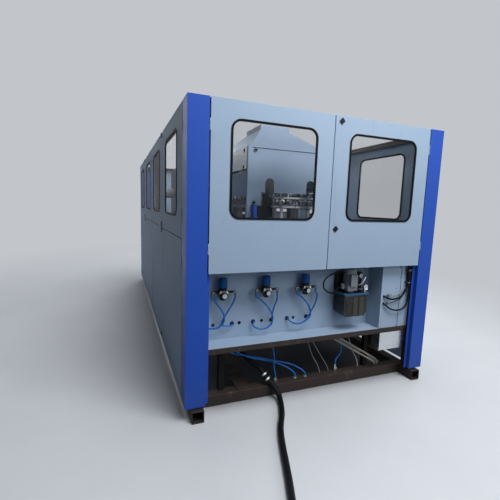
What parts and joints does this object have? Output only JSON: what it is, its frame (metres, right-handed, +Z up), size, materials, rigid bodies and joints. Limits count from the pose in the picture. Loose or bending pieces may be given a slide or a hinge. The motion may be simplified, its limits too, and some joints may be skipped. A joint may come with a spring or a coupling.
{
  "type": "stretch blow moulding machine",
  "caption": "Guarded two-stage stretch blow moulding machine with oven, clamp unit, windowed doors and an open utility bay.",
  "frame": {"origin": "on the floor under the middle of the machine's base", "axes": "+X to the right as seen from the front, +Y from the front to the rear along the machine's length, +Z up"},
  "size_m": [2.0945, 5.623, 2],
  "materials": {
    "dark_paint": "bare brown primer, matt",
    "blue_paint": "satin powder coat",
    "grey_paint": "fine textured powder coat",
    "zinc": "zinc plated",
    "steel": "machined",
    "clear_pane": "clear polycarbonate",
    "black_rubber": "extruded rubber",
    "black_plastic": "glass filled polyamide",
    "blue_plastic": "moulded",
    "smoked_plastic": "translucent tank",
    "grey_cast": "painted casting",
    "ceramic": "lamp tubes with ceramic ends",
    "alloy": "machined"
  },
  "bodies": {
    "machine": {"base_frame": "dark_paint", "corner_columns": "blue_paint", "enclosure_frame": "grey_paint", "door_hinges": "zinc", "machine_bed": "steel", "rear_cover": "grey_paint", "right_panels": "grey_paint", "right_windows": "clear_pane", "bay_beam": "dark_paint", "utility_bay": "grey_paint", "service_duct": "grey_paint", "air_regulators": "zinc", "air_tubes": "blue_plastic", "bay_cables": "black_rubber", "lubricator_tank": "smoked_plastic", "lubricator_drive": "grey_cast", "hose_inlet": "zinc", "supply_hose": "black_rubber", "supply_hose_coil": "black_rubber", "hose_coupling": "zinc", "oven_housing": "grey_paint", "oven_front_cover": "grey_paint", "oven_hood": "grey_paint", "oven_lamps": "ceramic", "conveyor_track": "steel", "carrier_chain": "steel", "clamp_frame": "grey_cast", "base_gantry": "grey_cast"},
    "front_left": {"front_door_left": "grey_paint", "front_window_left": "clear_pane", "front_seal_left": "black_rubber"},
    "front_right": {"front_door_right": "grey_paint", "front_window_right": "clear_pane", "front_seal_right": "black_rubber"},
    "latch_upper": {"front_latch_upper": "black_plastic"},
    "latch_lower": {"front_latch_lower": "black_plastic"},
    "side_1": {"side_door_1": "grey_paint", "side_window_1": "clear_pane"},
    "side_2": {"side_door_2": "grey_paint", "side_window_2": "clear_pane"},
    "side_3": {"side_door_3": "grey_paint", "side_window_3": "clear_pane"},
    "side_4": {"side_door_4": "grey_paint", "side_window_4": "clear_pane"},
    "lower_1": {"lower_door_1": "grey_paint"},
    "lower_2": {"lower_door_2": "grey_paint"},
    "lower_3": {"lower_door_3": "grey_paint"},
    "lower_4": {"lower_door_4": "grey_paint"},
    "knob_1": {"regulator_knob_1": "blue_plastic"},
    "knob_2": {"regulator_knob_2": "blue_plastic"},
    "knob_3": {"regulator_knob_3": "blue_plastic"},
    "wheel_front": {"turn_wheel_front": "alloy"},
    "wheel_rear": {"turn_wheel_rear": "alloy"},
    "clamp_left": {"platen_left": "steel", "mould_left": "alloy"},
    "clamp_right": {"platen_right": "steel", "mould_right": "alloy"},
    "plugs": {"base_plugs": "steel"},
    "stretch": {"stretch_unit": "zinc"},
    "gripper": {"transfer_gripper": "zinc"}
  },
  "joints": [
    {"name": "front_left_swing", "type": "hinge", "parent": "machine", "child": "front_left", "pos_m": [-0.8535, -2.18, 1.479], "axis": [0, 0, -1], "range_deg": [0, 110]},
    {"name": "front_right_swing", "type": "hinge", "parent": "machine", "child": "front_right", "pos_m": [0.8535, -2.18, 1.479], "axis": [0, 0, 1], "range_deg": [0, 110]},
    {"name": "latch_upper_turn", "type": "hinge", "parent": "front_right", "child": "latch_upper", "pos_m": [0.051, -2.18, 1.965], "axis": [0, 1, 0], "range_deg": [0, 90]},
    {"name": "latch_lower_turn", "type": "hinge", "parent": "front_right", "child": "latch_lower", "pos_m": [0.051, -2.18, 1.242], "axis": [0, -1, 0], "range_deg": [0, 90]},
    {"name": "side_1_swing", "type": "hinge", "parent": "machine", "child": "side_1", "pos_m": [-0.9875, -2.026, 1.58], "axis": [0, 0, 1], "range_deg": [0, 110]},
    {"name": "side_2_swing", "type": "hinge", "parent": "machine", "child": "side_2", "pos_m": [-0.9875, -0.007, 1.58], "axis": [0, 0, -1], "range_deg": [0, 90]},
    {"name": "side_3_swing", "type": "hinge", "parent": "machine", "child": "side_3", "pos_m": [-0.9875, 0.007, 1.58], "axis": [0, 0, 1], "range_deg": [0, 90]},
    {"name": "side_4_swing", "type": "hinge", "parent": "machine", "child": "side_4", "pos_m": [-0.9875, 2.026, 1.58], "axis": [0, 0, -1], "range_deg": [0, 110]},
    {"name": "lower_1_swing", "type": "hinge", "parent": "machine", "child": "lower_1", "pos_m": [-0.9875, -2.026, 0.62], "axis": [0, 0, 1], "range_deg": [0, 110]},
    {"name": "lower_2_swing", "type": "hinge", "parent": "machine", "child": "lower_2", "pos_m": [-0.9875, -0.007, 0.62], "axis": [0, 0, -1], "range_deg": [0, 90]},
    {"name": "lower_3_swing", "type": "hinge", "parent": "machine", "child": "lower_3", "pos_m": [-0.9875, 0.007, 0.62], "axis": [0, 0, 1], "range_deg": [0, 90]},
    {"name": "lower_4_swing", "type": "hinge", "parent": "machine", "child": "lower_4", "pos_m": [-0.9875, 2.026, 0.62], "axis": [0, 0, -1], "range_deg": [0, 110]},
    {"name": "knob_1_turn", "type": "hinge", "parent": "machine", "child": "knob_1", "pos_m": [-0.707, -2.02, 0.86], "axis": [0, 0, 1], "range_deg": [0, 1080]},
    {"name": "knob_2_turn", "type": "hinge", "parent": "machine", "child": "knob_2", "pos_m": [-0.387, -2.02, 0.86], "axis": [0, 0, 1], "range_deg": [0, 1080]},
    {"name": "knob_3_turn", "type": "hinge", "parent": "machine", "child": "knob_3", "pos_m": [-0.067, -2.02, 0.86], "axis": [0, 0, 1], "range_deg": [0, 1080]},
    {"name": "wheel_front_spin", "type": "hinge", "parent": "machine", "child": "wheel_front", "pos_m": [-0.09, -1.8, 1.39], "axis": [0, 0, 1], "continuous": true},
    {"name": "wheel_rear_spin", "type": "hinge", "parent": "machine", "child": "wheel_rear", "pos_m": [-0.09, -0.42, 1.39], "axis": [0, 0, 1], "continuous": true},
    {"name": "clamp_left_close", "type": "slide", "parent": "machine", "child": "clamp_left", "axis": [1, 0, 0], "range_m": [0, 0.12]},
    {"name": "clamp_right_close", "type": "slide", "parent": "machine", "child": "clamp_right", "axis": [-1, 0, 0], "range_m": [0, 0.12]},
    {"name": "plugs_lower", "type": "slide", "parent": "machine", "child": "plugs", "axis": [0, 0, -1], "range_m": [0, 0.045]},
    {"name": "stretch_raise", "type": "slide", "parent": "machine", "child": "stretch", "axis": [0, 0, 1], "range_m": [0, 0.26]},
    {"name": "gripper_travel", "type": "slide", "parent": "machine", "child": "gripper", "axis": [0, 1, 0], "range_m": [0, 0.66]}
  ],
  "couplings": [
    {"joint": "wheel_rear_spin", "follows": "wheel_front_spin", "ratio": 1},
    {"joint": "clamp_right_close", "follows": "clamp_left_close", "ratio": 1}
  ]
}
